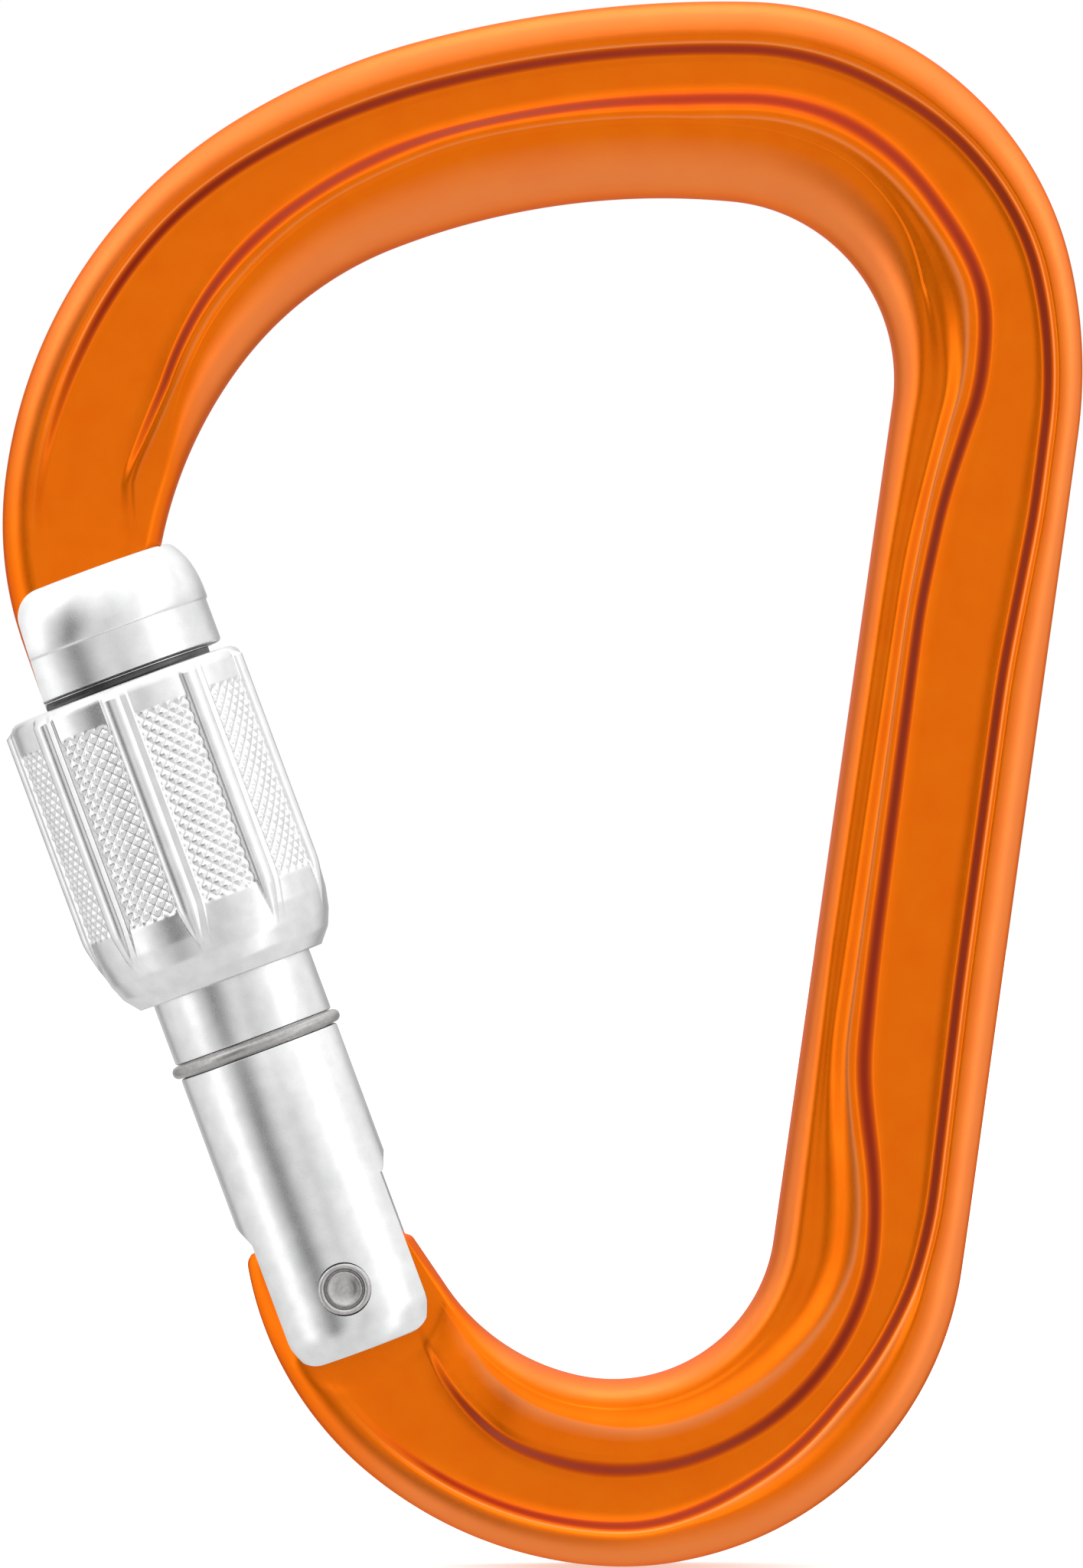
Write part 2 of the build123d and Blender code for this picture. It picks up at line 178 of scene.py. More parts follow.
# How strong the painted shade on the groove walls is, and the painted highlights on the crest, the
# shoulder and the rounded edges, with the share of a line where the painted highlight starts.
WALL_SHADE = 1.0
CREST_HIGHLIGHT = 0.35
CREST_HIGHLIGHT_FROM = 0.6
SHOULDER_HIGHLIGHT = 0.5
SHOULDER_HIGHLIGHT_FROM = 0.7
EDGE_HIGHLIGHT = 0.3

# Locking sleeve: (radius, height) outlines, with heights along the gate's own axis from the rivet.
SLEEVE_RADIUS = 8.9
SKIRT = ((7.05, 24.0), (7.2, 24.2), (7.95, 25.1), (8.45, 26.31), (8.78, 27.85), (8.9, 29.5))
TOP_EDGE = ((8.9, 45.9), (8.84, 46.25), (8.66, 46.52), (8.4, 46.68), (8.3, 46.7))
MOUTH = ((8.0, 46.7), (8.0, 44.75), (7.15, 44.6), (7.15, 26.2), (6.3, 25.9), (6.15, 25.7), (6.15, 24.0))
RIB_COUNT = 9
RIB_PHASE = -6.0
RIB_HALF_WIDTH = 0.72
RIB_HEIGHT = 0.45
RIB_STEP_WIDTH = 0.55
RIB_STEP_HEIGHT = 0.12
RIB_FOOT = 26.4
RIB_FULL = 30.4
RIB_TOP = 46.3
RIB_TOP_FADE = 0.35
RIB_FOOT_SHARE = 0.25
RIB_STEP_EDGE = (-0.06, 0.02)
KNURL_LOW = 29.7
KNURL_HIGH = 44.2
KNURL_PITCH = 0.95
KNURL_DEPTH = 0.24
KNURL_LEVEL = 0.7
KNURL_FADES = (0.25, 0.15)
KNURL_CLEAR = 0.2
SLEEVE_COLUMNS = 720
SLEEVE_ROW = 0.1
SKIRT_ROW = 0.15

# Gate: the sizes of its fork, slot, bore and cap, in the same heights.
BARREL_RADIUS = 6.05
FORK_FOOT = -4.7
SLOT_HALF = 2.9
SLOT_FLOOR = 6.9
SLOT_CUTTER = (2.95, -9.24)
SLOT_CUTTER_RADIUS = 16.4
SLOT_EDGES = (-5.2, 5.45)
SLOT_BEVELS = (1.75, 1.3)
SLOT_INSET = 0.02
FORK_EDGE = 5.36
FORK_ROUND = 2.0
FORK_SIDE = (6.06, 1.5)
RIVET_RADIUS = 1.45
RIVET_HEAD_RADIUS = 1.96
RIVET_SEAT = 5.5
HOLE_END = 354
BORE = 2.2
BORE_END = 28.0
BORE_COLUMNS = 48
CAP_FOOT = 47.3
CAP_TOP = 55.3
CHEEK_LOW = 45.5
CHEEK_FOOT = -5.65
CHEEK_TOP = -5.35
CHEEK_CORNER = 2.1
CAP_SLOT_TOP = 58.3
CAP_SLOT_SIDE = 105
CAP_SLOT_OVERLAP = 0.3
NOSE_GAP = 0.08
WAIST_GAP = 0.15
SHARP_ANGLE = 28
GATE_COLUMNS = 180

# How far the gate's cutters reach, past its surface so that they cut right through.
CUT_DEPTH = 9
CUT_SIDE = 12
SLOT_SIDE = 9
SLOT_LOW = -8

# The gate's outline before it is cut: (radius, height) from the foot to the top.
GATE_PROFILE = (
    (0, -4.7), (5.15, -4.7), (5.3, -4.66), (5.42, -4.55), (5.75, -3.7), (5.9, -3.25), (6.0, -2.9),
    (6.05, -2.4), (6.05, 0), (6.05, 6), (6.05, 12), (6.05, 18.1), (6.02, 18.2), (5.9, 18.28),
    (5.55, 18.28), (5.55, 19.32), (5.9, 19.32), (6.02, 19.4), (6.05, 19.5), (6.05, 24), (6.05, 30.5),
    (6.8, 31.25), (6.8, 39), (6.8, 47.3), (7.6, 47.3), (7.76, 47.34), (7.87, 47.46), (7.9, 47.65),
    (7.9, 50.45), (7.92, 50.55), (8.0, 50.62), (8.05, 50.75), (8.04, 51.6), (8.0, 52.2), (7.91, 52.8),
    (7.77, 53.4), (7.6, 53.9), (7.45, 54.2), (7.25, 54.6), (7.0, 54.98), (6.84, 55.15), (6.66, 55.26),
    (6.4, 55.3), (0, 55.3))

# Hinge pin: (radius, distance from the middle plane) from the dish's middle out and back in.
RIVET_HEAD = (
    (0.2, 5.62), (0.6, 5.64), (0.95, 5.72), (1.14, 5.82), (1.24, 5.84), (1.3, 5.78), (1.34, 5.66),
    (1.38, 5.62), (1.42, 5.68), (1.46, 5.9), (1.54, 6.06), (1.68, 6.12), (1.82, 6.06), (1.9, 5.94),
    (1.94, 5.8), (1.94, 5.5), (1.43, 5.5))
RIVET_COLUMNS = 64

# Gate spring in the barrel's bore, from the plunger's head to the bore's end.
SPRING_LOW = 9.2
SPRING_HIGH = 28.0
SPRING_RADIUS = 1.7
WIRE_RADIUS = 0.3
SPRING_TURNS = 13
SPRING_STEPS = 28
WIRE_SIDES = 12

# Screw thread on the barrel, just above its root.
THREAD_LOW = 31.5
THREAD_HIGH = 47.25
THREAD_ROOT = 6.82
THREAD_DEPTH = 0.26
THREAD_PITCH = 1.5
THREAD_ROW = 0.07
THREAD_COLUMNS = 120
THREAD_FADES = (1, 0.8)
CREST_GAIN = 1.6
ROOT_SHARE = 0.3
CORE_DROP = 0.3
NECK_FLAT = 5.68


def turned(start, heading, runs, step):
    """Points along a smooth chain of straight runs and arcs, about step apart."""
    points = [np.array(start, float)]
    angle = math.radians(heading)
    for radius, amount in runs:
        length = amount if radius == 0 else radius * math.radians(abs(amount))
        count = max(2, round(length / step))
        bend = 0 if radius == 0 else math.radians(amount) / count
        for _ in range(count):
            chord = length / count
            if bend:
                chord = 2 * radius * math.sin(abs(bend) / 2)
            middle = angle + bend / 2
            points.append(points[-1] + chord * np.array([math.cos(middle), math.sin(middle)]))
            angle += bend
    return np.array(points)


def travelled(points):
    """Distance of each point from the first, along the line."""
    return np.r_[0, np.cumsum(np.linalg.norm(np.diff(points, axis=0), axis=1))]


def at(points, distances, where):
    """Points at the given distances along a line."""
    return np.stack([np.interp(where, distances, points[:, k]) for k in (0, 1)], axis=-1)


OUTER = turned(OUTER_START, OUTER_HEADING, OUTER_RUNS, OUTLINE_STEP)
OUTER_AT = travelled(OUTER)
INNER = turned(INNER_START, INNER_HEADING, INNER_RUNS, OUTLINE_STEP)[::-1]
INNER_AT = travelled(INNER)


def opposite(point, direction):
    """Distance along the inner outline where a ray from the outer one meets it."""
    a = INNER[:-1] - point
    b = INNER[1:] - INNER[:-1]
    across = direction[0] * b[:, 1] - direction[1] * b[:, 0]
    across = np.where(abs(across) < 1e-9, 1e-9, across)
    reach = (a[:, 0] * b[:, 1] - a[:, 1] * b[:, 0]) / across
    share = (a[:, 0] * direction[1] - a[:, 1] * direction[0]) / across
    hits = (share >= 0) & (share <= 1) & (reach > BAR_WIDTHS[0]) & (reach < BAR_WIDTHS[1])
    index = np.flatnonzero(hits)[np.argmin(reach[hits])]
    return INNER_AT[index] + share[index] * (INNER_AT[index + 1] - INNER_AT[index])


def radius_crossing(points, distances, radius):
    """Distance along an outline's nose end where it is at a radius from the rivet."""
    reach = np.hypot(points[:, 0] - RIVET_X, points[:, 1] - RIVET_Z)
    order = np.flatnonzero(distances > distances[-1] * NOSE_SHARE)[::-1]
    return float(np.interp(radius, reach[order], distances[order]))


def normal_stations(nose_from):
    """Stations square to the outer outline: distances on both outlines, and 0 for no arc."""
    spacing = OUTER_AT[-1] / 1000
    rows = []
    for where in np.arange(TONGUE_STATION, nose_from, STATION_STEP):
        point = at(OUTER, OUTER_AT, where)
        ahead = at(OUTER, OUTER_AT, where + spacing) - at(OUTER, OUTER_AT, where - spacing)
        ahead = ahead / np.linalg.norm(ahead)
        rows.append([where, opposite(point, (-ahead[1], ahead[0])), 0])
    return np.array(rows)


def arc_stations():
    """Stations that are arcs about the rivet: distances on both outlines, and the arc's radius."""
    radii = [
        *np.arange(NOSE_ARC_RADIUS, WAIST_HIGH + WAIST_MARGIN, -ARC_STEP),
        WAIST_HIGH + WAIST_EDGE, WAIST_HIGH - WAIST_EDGE, (WAIST_HIGH + WAIST_LOW) / 2,
        WAIST_LOW + WAIST_EDGE, WAIST_LOW - WAIST_EDGE, NOSE_MIDDLE, NOSE_END_RADIUS + NOSE_EDGE,
        NOSE_END_RADIUS]
    return np.array([
        [radius_crossing(OUTER, OUTER_AT, r), radius_crossing(INNER, INNER_AT, r), r] for r in radii])


def all_stations():
    """Every station from the tongue to the nose, with the change-over between the two kinds eased."""
    rows = normal_stations(radius_crossing(OUTER, OUTER_AT, NOSE_ARC_RADIUS))
    ends = arc_stations()
    blend_from = ends[0, 0] - BLEND_LENGTH
    share = np.clip((rows[:, 0] - blend_from) / (ends[0, 0] - blend_from), 0, 1)
    share = share * share * (3 - 2 * share)
    straight = np.interp(rows[:, 0], [blend_from, ends[0, 0]], [
        np.interp(blend_from, rows[:, 0], rows[:, 1]), ends[0, 1]])
    rows[:, 1] += share * (straight - rows[:, 1])
    return np.vstack([rows, ends])


def along(table, where):
    """A smoothed table of (distance, value) read at the stations."""
    fine = np.arange(-TABLE_MARGIN, OUTER_AT[-1] + TABLE_MARGIN, TABLE_STEP)
    keys, values = zip(*table)
    raw = np.interp(fine, keys, values)
    window = np.hanning(int(SMOOTHING / TABLE_STEP) * 2 + 1)
    window /= window.sum()
    padded = np.pad(raw, len(window) // 2, mode="edge")
    return np.interp(where, fine, np.convolve(padded, window, mode="valid"))


def eased(count):
    """Steps along a line of the section: the share of its width, and of its height on an S curve."""
    share = np.arange(1, count + 1) / count
    return zip(share, (1 - np.cos(math.pi * share)) / 2)


def soft_min(a, b, reach):
    """The smaller of two heights with a rounded change-over."""
    reach = np.maximum(reach, 1e-6)
    gap = np.clip(0.5 + (b - a) / (2 * reach), 0, 1)
    return b + (a - b) * gap - reach * gap * (1 - gap)


def painted_light_along_run(run, share):
    """Painted light along one run of the section: painted shade on the groove walls, painted highlight on
    the crest and the shoulder.
    """
    hump = math.sin(math.pi * share)
    if run in ("shoulder", "foot"):
        return -WALL_SHADE * hump
    if run == "brow":
        return CREST_HIGHLIGHT * max(share - CREST_HIGHLIGHT_FROM, 0) / (1 - CREST_HIGHLIGHT_FROM)
    if run == "rim":
        return SHOULDER_HIGHLIGHT * max(share - SHOULDER_HIGHLIGHT_FROM, 0) / (1 - SHOULDER_HIGHLIGHT_FROM)
    return 0.0


def edge_highlight(count):
    """Painted highlight over a rounded edge, strongest in its middle."""
    return [EDGE_HIGHLIGHT * math.sin(math.pi * k / (count - 1)) for k in range(count)]


def section_knots(where, width):
    """The section's named lines, each as (place across the bar, height)."""
    rim, top, ridge = (along(table, where) for table in (RIM_HEIGHT, TOP_HEIGHT, CREST_HEIGHT))
    wall, foot, brow = (along(table, where) for table in (RIM_WALL, WEB_EDGE, WALL_TOP))
    crest, dip, inner = (along(table, where) for table in (CREST, VALLEY, INNER_ROUNDING))
    band = ridge - along(BAND_DROP, where)
    end = width - inner
    brow = np.minimum(brow, end - BROW_ROOM)
    foot = np.minimum(foot, brow - FOOT_ROOM)
    crest = np.clip(crest, brow + CREST_ROOM[0], end - CREST_ROOM[1])
    dip = np.clip(dip, crest + DIP_ROOM[0], end - DIP_ROOM[1])
    flat = np.full_like(where, FLAT_HALF)
    shoulder = wall - WALL_HALF
    return {
        "rim": (np.minimum(OUTER_ROUNDING, shoulder - RIM_ROOM), rim),
        "shoulder": (shoulder, rim - WALL_LEAN * (rim - flat)),
        "wall": (wall + WALL_HALF, flat),
        "foot": (foot, flat),
        "brow": (brow, top),
        "crest": (crest, ridge),
        "dip": (dip, (ridge + band) / 2 - along(VALLEY_DEPTH, where)),
        "band": (end, band),
    }


def section(where, width):
    """Places, heights and painted light (shade and highlight) of the half section, from the outer edge to
    the inner one.
    """
    knots = section_knots(where, width)
    outer, rim = knots["rim"]
    end, band = knots["band"]
    upright = np.maximum(rim - outer, 0)
    places = [np.zeros_like(where), np.zeros_like(where)]
    heights = [np.zeros_like(where), upright * SIDE_SHARE]
    painted_light = [0.0, 0.0] + edge_highlight(len(OUTER_TURNS))
    for turn in np.radians(OUTER_TURNS):
        places.append(outer * (1 - math.cos(turn)))
        heights.append(upright + (rim - upright) * math.sin(turn))
    for start, finish, count in SECTION_RUNS:
        (w0, h0), (w1, h1) = knots[start], knots[finish]
        for share, swing in eased(count):
            painted_light.append(painted_light_along_run(start, share))
            places.append(w0 + (w1 - w0) * share)
            heights.append(h0 + (h1 - h0) * swing)
    for turn in np.radians(INNER_TURNS):
        places.append(width - (width - end) * (1 - math.cos(turn)))
        heights.append(band * math.sin(turn))
    painted_light += edge_highlight(len(INNER_TURNS))
    return np.array(places).T, np.array(heights).T, np.array(painted_light)


def nose_scale(stations, reach):
    """How far each station is stretched about the rivet, so that the nose's become true arcs."""
    on_arc = stations[:, 2] > 0
    first = np.argmax(on_arc)
    share = np.clip(np.arange(len(stations)) - (first - BLEND_ROWS), 0, BLEND_ROWS) / BLEND_ROWS
    sag = (NOSE_ARC_RADIUS / reach[first] - 1)[None] * share[:, None]
    return np.where(on_arc[:, None], stations[:, 2][:, None] / reach, 1 + sag)


def bar_rows():
    """Stations of (x, z, half thickness, painted light) from the hinge tongue to the nose tip."""
    stations = all_stations()
    outer = at(OUTER, OUTER_AT, stations[:, 0])
    inner = at(INNER, INNER_AT, stations[:, 1])
    width = np.linalg.norm(inner - outer, axis=1)
    places, heights, painted_light = section(stations[:, 0], width)
    share = places / width[:, None]
    plan = outer[:, None] + share[..., None] * (inner - outer)[:, None]
    rivet = np.array([RIVET_X, RIVET_Z])
    spokes = plan - rivet
    plan = rivet + spokes * nose_scale(stations, np.linalg.norm(spokes, axis=2))[..., None]
    # Round the rivet the bar stays thin, so that the fork can swing over it.
    reach = np.linalg.norm(plan - rivet, axis=2)
    swing = FLAT_HALF + np.maximum(reach - SWING_RADIUS, 0) * SWING_SLOPE
    rounding = SWING_ROUNDING * np.minimum(heights / FLAT_HALF, 1)
    heights = np.where(swing < ABOVE_BAR, soft_min(heights, swing, rounding), heights)
    waist = (stations[:, 2] > WAIST_LOW) & (stations[:, 2] < WAIST_HIGH)
    limit = np.where(waist, WAIST_HALF, ABOVE_BAR)[:, None]
    # The painted shade and highlights fade to nothing where the section is no higher than the flat.
    relief = np.clip((heights.max(axis=1) - FLAT_HALF) / 2, 0, 1)[:, None]
    return np.dstack([plan, np.minimum(heights, limit), painted_light[None] * relief]), share


def horn_inset(distance):
    """How far the rounded tip of the tongue's horns draws in, at a distance below it."""
    rest = max(1 - distance / HORN_ROUNDING, 0)
    return HORN_ROUNDING * (1 - math.sqrt(1 - rest ** 2))


def tongue_top(share):
    """Points over the tongue's eccentric top, from the outer horn to the inner one."""
    tilt = math.radians(CAM_ANGLE - GATE_LEAN)
    centre = np.array([RIVET_X, RIVET_Z]) + CAM_OFFSET * np.array([math.sin(tilt), math.cos(tilt)])
    left, right = OUTER[0], INNER[0]
    start = math.atan2(*(left - centre)[::-1])
    finish = math.atan2(*(right - centre)[::-1])
    if start < finish:
        start += 2 * math.pi
    turn = start + (finish - start) * share
    rays = np.stack([np.cos(turn), np.sin(turn)], axis=-1)
    edge = right - left
    normal = np.array([-edge[1], edge[0]])
    toward = (left - centre) @ normal / (rays @ normal)
    reach = np.where((toward > 0) & (toward < BAR_WIDTHS[1]), toward, 0)
    return centre + rays * np.maximum(reach, CAM_RADIUS)[:, None]


def tongue_rows(first, share):
    """Stations that close the hinge end over the round top of the tongue."""
    top = tongue_top(share)
    last = first[:, :2]
    across = (INNER[0] - OUTER[0]) / np.linalg.norm(INNER[0] - OUTER[0])
    ends_only = np.exp(-(share / HORN_REACH) ** 2) - np.exp(-((1 - share) / HORN_REACH) ** 2)
    outer = at(OUTER, OUTER_AT, np.linspace(0, TONGUE_STATION, TONGUE_STEPS, endpoint=False))
    inner_at = INNER_AT[np.argmin(np.linalg.norm(INNER - last[-1], axis=1))]
    inner = at(INNER, INNER_AT, np.linspace(0, inner_at, TONGUE_STEPS, endpoint=False))
    rows = []
    for k in range(TONGUE_STEPS):
        v = k / TONGUE_STEPS
        flat = (1 - v) * top + v * last
        if k:
            to_outer = (outer[k] - flat[0]) * (1 - share)[:, None]
            to_inner = (inner[k] - flat[-1]) * share[:, None]
            flat = flat + to_outer + to_inner
        flat = flat + (horn_inset(TONGUE_STATION * v) * ends_only)[:, None] * across
        rows.append(np.column_stack([flat, first[:, 2:]]))
    return np.array(rows)


def metres(plan, depth):
    """Frame points from (x, z) in millimetres and a place along Y."""
    return np.stack([plan[..., 0], np.broadcast_to(depth, plan.shape[:-1]), plan[..., 1]], axis=-1) * MM


def make_piece(name, points, faces, body, slot, node=None):
    """A smooth mesh piece that rides on a body and takes a slot's finish."""
    mesh = bpy.data.meshes.new(name)
    mesh.from_pydata([tuple(p) for p in points], [], faces)
    mesh.validate()
    mesh.polygons.foreach_set("use_smooth", [True] * len(mesh.polygons))
    mesh.update()
    piece = bpy.data.objects.new(name, mesh)
    bpy.context.scene.collection.objects.link(piece)
    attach(piece, body)
    if node:
        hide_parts(node)
    mesh.materials.append(FINISHES[slot])
    return piece


def loop_faces(rows, columns, first=0):
    """Quads between neighbouring closed loops of points."""
    faces = []
    for i in range(rows - 1):
        for j in range(columns):
            k = (j + 1) % columns
            a, b = first + i * columns, first + (i + 1) * columns
            faces.append((a + j, a + k, b + k, b + j))
    return faces


def closed_faces(rows, columns):
    """Quads between closed loops, with the last loop joined back to the first."""
    last = (rows - 1) * columns
    closing = [(last + j, last + (j + 1) % columns, (j + 1) % columns, j) for j in range(columns)]
    return loop_faces(rows, columns) + closing


def make_bar():
    """The anodised bar; a mesh attribute on it paints shade on the groove walls and highlights on the
    crest, the shoulder and the edges.
    """
    rows, share = bar_rows()
    rows = np.concatenate([tongue_rows(rows[0], share[0]), rows])
    front = metres(rows[..., :2], -rows[..., 2])
    back = metres(rows[..., :2], rows[..., 2])[:, -2:0:-1]
    loops = np.concatenate([front, back], axis=1)
    count, columns = loops.shape[:2]
    faces = loop_faces(count, columns)
    half = front.shape[1]
    for base, flip in ((0, False), ((count - 1) * columns, True)):
        for j in range(half - 1):
            mirror = [(columns - k) % columns for k in (j, j + 1)]
            quad = [base + j, base + j + 1, base + mirror[1], base + mirror[0]]
            quad = list(dict.fromkeys(quad))
            faces.append(tuple(quad[::-1] if flip else quad))
    piece = make_piece("bar", loops.reshape(-1, 3), faces, "frame", "anodised_bar", "frame")
    painted_light = np.concatenate([rows[..., 3], rows[:, -2:0:-1, 3]], axis=1)
    piece.visible_glossy = False
    # Painted light per point: below 0 it is painted shade on the groove walls, above 0 painted highlight
    # on the crest, the shoulder and the rounded edges.
    layer = piece.data.attributes.new("painted_light", "FLOAT", "POINT")
    layer.data.foreach_set("value", painted_light.ravel())
    return piece


def gate_points(angle, radius, height):
    """Frame points from polar gate coordinates; angle 0 faces the camera's side."""
    lean = math.radians(GATE_LEAN)
    lateral = radius * np.sin(angle)
    depth = -radius * np.cos(angle)
    x = RIVET_X + lateral * math.cos(lean) - height * math.sin(lean)
    z = RIVET_Z + lateral * math.sin(lean) + height * math.cos(lean)
    return np.stack([x, depth, z], axis=-1) * MM


def triangle(value):
    """A triangle wave from 0 at whole numbers to 1 half way between."""
    return 2 * abs(value - np.floor(value + 0.5))


def ramp(value, low, high):
    """0 below low and 1 above high, with a smooth change in between."""
    share = np.clip((value - low) / (high - low), 0, 1)
    return share * share * (3 - 2 * share)


def sleeve_ribs(offset, height):
    """The ribs' height, each with a low step on one side, at an offset round from the nearest rib."""
    full = ramp(height, RIB_FOOT, RIB_FULL)
    rise = full * (1 - ramp(height, RIB_TOP - RIB_TOP_FADE, RIB_TOP))
    half = RIB_HALF_WIDTH * (RIB_FOOT_SHARE + (1 - RIB_FOOT_SHARE) * full)
    rib = RIB_HEIGHT * np.sqrt(np.clip(1 - (offset / half) ** 2, 0, 1)) * rise
    low, high = (half + RIB_STEP_WIDTH + edge for edge in RIB_STEP_EDGE)
    step = RIB_STEP_HEIGHT * rise * (1 - ramp(offset, low, high)) * (offset > 0)
    return np.maximum(rib, step)


def sleeve_relief(angle, height, radius):
    """What the ribs and the knurling add to the sleeve's plain surface."""
    spacing = 2 * math.pi / RIB_COUNT
    from_rib = (angle - math.radians(RIB_PHASE) + spacing / 2) % spacing - spacing / 2
    offset = from_rib * radius
    up = height / KNURL_PITCH
    around = angle * SLEEVE_RADIUS / KNURL_PITCH
    ridges = np.minimum(triangle(up + around), triangle(up - around))
    zone = ramp(height, KNURL_LOW, KNURL_LOW + KNURL_FADES[0])
    zone = zone * (1 - ramp(height, KNURL_HIGH, KNURL_HIGH + KNURL_FADES[1]))
    rib_side = RIB_HALF_WIDTH + RIB_STEP_WIDTH / 2
    clear = ramp(abs(offset - RIB_STEP_WIDTH / 2), rib_side, rib_side + KNURL_CLEAR)
    return sleeve_ribs(offset, height) + KNURL_DEPTH * (ridges - KNURL_LEVEL) * zone * clear


def make_sleeve():
    """The screw sleeve: its outline turned about the gate's axis, with ribs and knurling outside."""
    low, high = SKIRT[-1][1], TOP_EDGE[0][1]
    radii, heights = zip(*SKIRT)
    skirt_heights = np.arange(SKIRT[0][1], low, SKIRT_ROW)
    skirt = [(float(np.interp(h, heights, radii)), float(h)) for h in skirt_heights]
    body = [(SLEEVE_RADIUS, float(h)) for h in np.arange(low, high, SLEEVE_ROW)]
    profile = np.array([*skirt, *body, *TOP_EDGE, *MOUTH])
    outside = len(skirt) + len(body) + len(TOP_EDGE) - 2
    angle = np.linspace(0, 2 * math.pi, SLEEVE_COLUMNS, endpoint=False)[None]
    angle = np.repeat(angle, len(profile), axis=0)
    radius = np.repeat(profile[:, :1], SLEEVE_COLUMNS, axis=1)
    height = np.repeat(profile[:, 1:], SLEEVE_COLUMNS, axis=1)
    relief = sleeve_relief(angle, height, radius)
    relief[outside:] = 0
    points = gate_points(angle, radius + relief, height)
    faces = closed_faces(len(profile), SLEEVE_COLUMNS)
    return make_piece(
        "screw_sleeve", points.reshape(-1, 3), faces, "sleeve", "sleeve_metal", "locking_sleeve")


def arc(centre, radius, start, finish, steps=16):
    """Points (lateral, height) along an arc in the gate's plane."""
    turn = np.radians(np.linspace(start, finish, steps))
    return [(centre[0] + radius * math.cos(a), centre[1] + radius * math.sin(a)) for a in turn]


def in_frame(lateral, height, depth):
    """A frame point in metres from the gate's lateral, height and depth."""
    lean = math.radians(GATE_LEAN)
    x = RIVET_X + lateral * math.cos(lean) - height * math.sin(lean)
    z = RIVET_Z + lateral * math.sin(lean) + height * math.cos(lean)
    return (x * MM, depth * MM, z * MM)


def solid(name, points, faces):
    """A closed mesh with its faces turned outward, to cut or to be cut."""
    mesh = bpy.data.meshes.new(name)
    mesh.from_pydata(points, [], faces)
    shape = bmesh.new()
    shape.from_mesh(mesh)
    bmesh.ops.recalc_face_normals(shape, faces=shape.faces)
    shape.to_mesh(mesh)
    shape.free()
    made = bpy.data.objects.new(name, mesh)
    bpy.context.scene.collection.objects.link(made)
    return made


def prism(outline, low, high):
    """A cutter: an outline (lateral, height) drawn out along Y."""
    count = len(outline)
    points = [in_frame(a, b, y) for y in (low, high) for a, b in outline]
    faces = [tuple(range(count)), tuple(range(count, 2 * count))]
    faces += [(j, (j + 1) % count, count + (j + 1) % count, count + j) for j in range(count)]
    return solid("cutter", points, faces)


def lathe(profile, columns):
    """A solid turned about the gate's axis; the profile ends on the axis at both ends."""
    angle = np.linspace(0, 2 * math.pi, columns, endpoint=False)
    rings = np.array(profile[1:-1])
    points = gate_points(angle[None], rings[:, :1], rings[:, 1:]).reshape(-1, 3)
    tips = [in_frame(0, profile[0][1], 0), in_frame(0, profile[-1][1], 0)]
    points = [tuple(point) for point in points] + tips
    faces = loop_faces(len(rings), columns)
    foot, top = len(points) - 2, len(points) - 1
    last = (len(rings) - 1) * columns
    for j in range(columns):
        k = (j + 1) % columns
        faces += [(foot, j, k), (top, last + k, last + j)]
    return solid("lathe", points, faces)


def flank_at(radius):
    """Where the nose's inner edge crosses an arc about the rivet, in gate coordinates."""
    lean = math.radians(GATE_LEAN)
    dx, dz = INNER_START[0] - RIVET_X, INNER_START[1] - RIVET_Z
    start = np.array([
        dx * math.cos(lean) + dz * math.sin(lean), dz * math.cos(lean) - dx * math.sin(lean)])
    heading = math.radians(INNER_HEADING - GATE_LEAN)
    step = np.array([math.cos(heading), math.sin(heading)])
    start = start + NOSE_GAP * np.array([step[1], -step[0]])
    middle = start @ step
    return start + step * (-middle + math.sqrt(middle ** 2 - start @ start + radius ** 2))


def nose_slot(low, high, half):
    """A cutter for the part of the cap's slot between two radii about the rivet."""
    outline = []
    for radius, flip in ((low, False), (high, True)):
        inner = flank_at(radius)
        start = math.degrees(math.atan2(inner[1], inner[0]))
        points = arc((0, 0), radius, start, CAP_SLOT_SIDE)
        outline += points[::-1] if flip else points
    return prism(outline, -half, half)


def carved(blank, cutters):
    """The blank's mesh with every cutter taken away."""
    for cutter in cutters:
        change = blank.modifiers.new("cut", "BOOLEAN")
        change.operation = "DIFFERENCE"
        change.solver = "EXACT"
        change.object = cutter
    bpy.context.view_layer.update()
    graph = bpy.context.evaluated_depsgraph_get()
    mesh = bpy.data.meshes.new_from_object(blank.evaluated_get(graph))
    for made in [blank, *cutters]:
        bpy.data.objects.remove(made)
    return mesh


def fork_corner(side):
    """A cutter that rounds one lower corner of the fork."""
    round_off = arc((FORK_EDGE - FORK_ROUND, FORK_FOOT + FORK_ROUND), FORK_ROUND, -92, 0)
    top = FORK_SIDE[1]
    outline = [(round_off[0][0], SLOT_LOW), *round_off, FORK_SIDE, (SLOT_SIDE, top), (SLOT_SIDE, SLOT_LOW)]
    return prism([(side * a, b) for a, b in outline], -CUT_DEPTH, CUT_DEPTH)


def slot_outline():
    """The slot's cutter: its floor is the arc of a round tool, bevelled where it leaves the barrel."""
    left, right = (
        math.degrees(math.acos((x - SLOT_CUTTER[0]) / SLOT_CUTTER_RADIUS)) for x in SLOT_EDGES)
    floor = arc(SLOT_CUTTER, SLOT_CUTTER_RADIUS, right, left, 24)
    left_top, right_top = floor[-1][1] + SLOT_BEVELS[0], floor[0][1] + SLOT_BEVELS[1]
    edge = SLOT_INSET - BARREL_RADIUS
    return [
        (-SLOT_SIDE, SLOT_LOW), (SLOT_SIDE, SLOT_LOW), (SLOT_SIDE, right_top), (-edge, right_top),
        *floor, (edge, left_top), (-SLOT_SIDE, left_top)]


